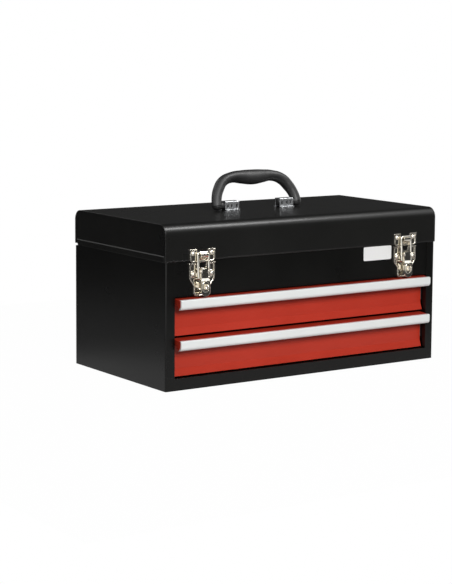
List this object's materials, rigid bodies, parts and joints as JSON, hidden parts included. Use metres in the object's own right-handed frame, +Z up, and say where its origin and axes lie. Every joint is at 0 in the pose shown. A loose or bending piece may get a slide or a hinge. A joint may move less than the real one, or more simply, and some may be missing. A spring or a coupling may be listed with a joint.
{
  "type": "portable tool box",
  "caption": "Portable steel tool box with a lift-up lid, folding carrying handle, toggle latches, a top compartment and sliding drawers with full-width pulls.",
  "frame": {"origin": "on the floor under the middle of the body", "axes": "+X to the right, -Y out of the drawer front, +Z up"},
  "size_m": [0.46, 0.2583, 0.2771],
  "materials": {
    "black_paint": "satin",
    "inner_paint": "satin",
    "red_paint": "gloss",
    "trim_silver": "satin",
    "latch_nickel": "satin",
    "bracket_chrome": "gloss",
    "slide_steel": "satin",
    "handle_plastic": "satin"
  },
  "bodies": {
    "cabinet": {"body_wrap": "black_paint", "bottom_pan": "black_paint", "upper_front_panel": "black_paint", "compartment_floor": "inner_paint", "rear_post_left": "inner_paint", "rear_post_right": "inner_paint", "slide_channel_lower_left": "slide_steel", "slide_channel_lower_right": "slide_steel", "slide_channel_upper_left": "slide_steel", "slide_channel_upper_right": "slide_steel", "latch_base_left": "latch_nickel", "latch_base_right": "latch_nickel", "latch_pin_left": "latch_nickel", "latch_pin_right": "latch_nickel", "latch_base_rivets": "latch_nickel", "hinge_leaf_lower": "slide_steel", "hinge_pin": "slide_steel"},
    "lid": {"lid_wrap": "black_paint", "lid_end_left": "black_paint", "lid_end_right": "black_paint", "hinge_leaf_upper": "slide_steel", "keeper_left": "latch_nickel", "keeper_right": "latch_nickel", "keeper_rivets": "latch_nickel", "handle_bracket_left": "bracket_chrome", "handle_bracket_right": "bracket_chrome", "bracket_rivets": "bracket_chrome"},
    "handle_body": {"handle": "handle_plastic"},
    "drawer_lower": {"drawer_front_lower": "red_paint", "drawer_tray_lower": "inner_paint", "drawer_trim_lower": "trim_silver", "drawer_runner_lower_left": "slide_steel", "drawer_runner_lower_right": "slide_steel"},
    "drawer_upper": {"drawer_front_upper": "red_paint", "drawer_tray_upper": "inner_paint", "drawer_trim_upper": "trim_silver", "drawer_runner_upper_left": "slide_steel", "drawer_runner_upper_right": "slide_steel"},
    "lever_left": {"latch_lever_left": "latch_nickel"},
    "lever_right": {"latch_lever_right": "latch_nickel"},
    "loop_left": {"latch_loop_left": "latch_nickel"},
    "loop_right": {"latch_loop_right": "latch_nickel"}
  },
  "joints": [
    {"name": "lid_hinge", "type": "hinge", "parent": "cabinet", "child": "lid", "pos_m": [0, 0.1202, 0.171], "axis": [-1, 0, 0], "range_deg": [0, 105]},
    {"name": "handle_fold", "type": "hinge", "parent": "lid", "child": "handle_body", "pos_m": [0, 0, 0.227], "axis": [1, 0, 0], "range_deg": [-63, 107]},
    {"name": "drawer_lower_slide", "type": "slide", "parent": "cabinet", "child": "drawer_lower", "axis": [0, -1, 0], "range_m": [0, 0.14]},
    {"name": "drawer_upper_slide", "type": "slide", "parent": "cabinet", "child": "drawer_upper", "axis": [0, -1, 0], "range_m": [0, 0.14]},
    {"name": "lever_left_hinge", "type": "hinge", "parent": "cabinet", "child": "lever_left", "pos_m": [-0.173, -0.1254, 0.156], "axis": [-1, 0, 0], "range_deg": [0, 150]},
    {"name": "loop_left_hinge", "type": "hinge", "parent": "lever_left", "child": "loop_left", "pos_m": [-0.173, -0.12484, 0.14802], "axis": [-1, 0, 0], "range_deg": [-150, 0]},
    {"name": "lever_right_hinge", "type": "hinge", "parent": "cabinet", "child": "lever_right", "pos_m": [0.173, -0.1254, 0.156], "axis": [-1, 0, 0], "range_deg": [0, 150]},
    {"name": "loop_right_hinge", "type": "hinge", "parent": "lever_right", "child": "loop_right", "pos_m": [0.173, -0.12484, 0.14802], "axis": [-1, 0, 0], "range_deg": [-150, 0]}
  ],
  "couplings": [
    {"joint": "loop_left_hinge", "follows": "lever_left_hinge", "ratio": -1},
    {"joint": "loop_right_hinge", "follows": "lever_right_hinge", "ratio": -1}
  ]
}
